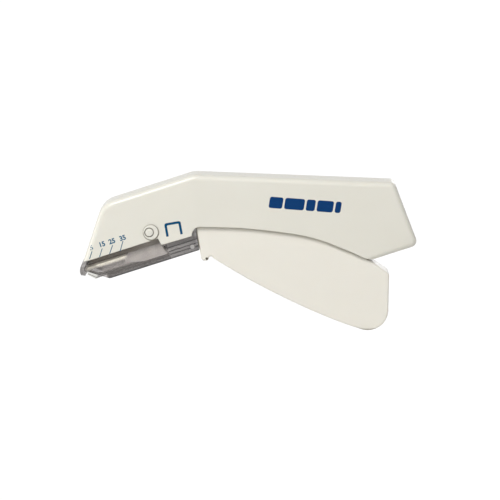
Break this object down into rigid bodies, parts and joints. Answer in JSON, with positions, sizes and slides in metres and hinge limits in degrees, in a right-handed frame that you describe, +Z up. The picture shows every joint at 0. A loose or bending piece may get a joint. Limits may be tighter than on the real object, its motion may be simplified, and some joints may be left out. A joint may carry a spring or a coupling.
{
  "type": "skin stapler",
  "caption": "Hand-held disposable skin stapler: moulded housing, four-finger trigger, angled smoke-clear magazine with a fed staple row, driver and anvil.",
  "frame": {"origin": "centre of the whole object's box", "axes": "+X towards the rear of the handle, -X to the staple end, +Y to the right side, +Z up with the housing's long top edge nearly level"},
  "size_m": [0.1746, 0.021, 0.0818],
  "materials": {
    "white_housing": "satin moulded",
    "white_trigger": "satin moulded",
    "smoked_clear": "polished smoke tint",
    "dark_guide": "matte",
    "grey_follower": "matte",
    "grey_pin": "matte",
    "driver_plastic": "matte",
    "sheet_steel": "brushed",
    "bright_steel": "polished",
    "steel_pin": "ground",
    "staple_wire": "drawn wire",
    "spring_wire": "drawn wire"
  },
  "bodies": {
    "housing": {"housing_left": "white_housing", "housing_right": "white_housing", "pivot_pin": "steel_pin", "magazine_cover": "smoked_clear", "staple_guide": "dark_guide", "staple_rail": "sheet_steel", "anvil": "bright_steel", "staple_stack": "staple_wire", "follower_spring": "spring_wire", "spring_guide_rod": "steel_pin", "magazine_pin": "grey_pin", "ejector_spring": "sheet_steel", "trigger_spring": "spring_wire", "ready_staple": "staple_wire"},
    "trigger": {"trigger": "white_trigger", "drive_lever": "sheet_steel", "lever_rivets": "steel_pin"},
    "driver": {"driver_block": "driver_plastic", "drive_pin": "steel_pin", "former_plate": "sheet_steel", "former_rivets": "steel_pin"},
    "follower": {"follower": "grey_follower"}
  },
  "joints": [
    {"name": "trigger_squeeze", "type": "hinge", "parent": "housing", "child": "trigger", "pos_m": [-0.05031, 0.0005, 0.01122], "axis": [0, -1, 0], "range_deg": [0, 13], "deforming": ["trigger_spring"]},
    {"name": "driver_slide", "type": "slide", "parent": "housing", "child": "driver", "axis": [-0.3173, 0, -0.9483], "range_m": [0, 0.00548], "deforming": ["ready_staple"]},
    {"name": "follower_feed", "type": "slide", "parent": "housing", "child": "follower", "axis": [-0.9521, 0, -0.3057], "range_m": [0, 0.021], "deforming": ["staple_stack", "follower_spring"]}
  ],
  "couplings": [
    {"joint": "driver_slide", "follows": "trigger_squeeze", "m_per_rad": 0.024103}
  ]
}
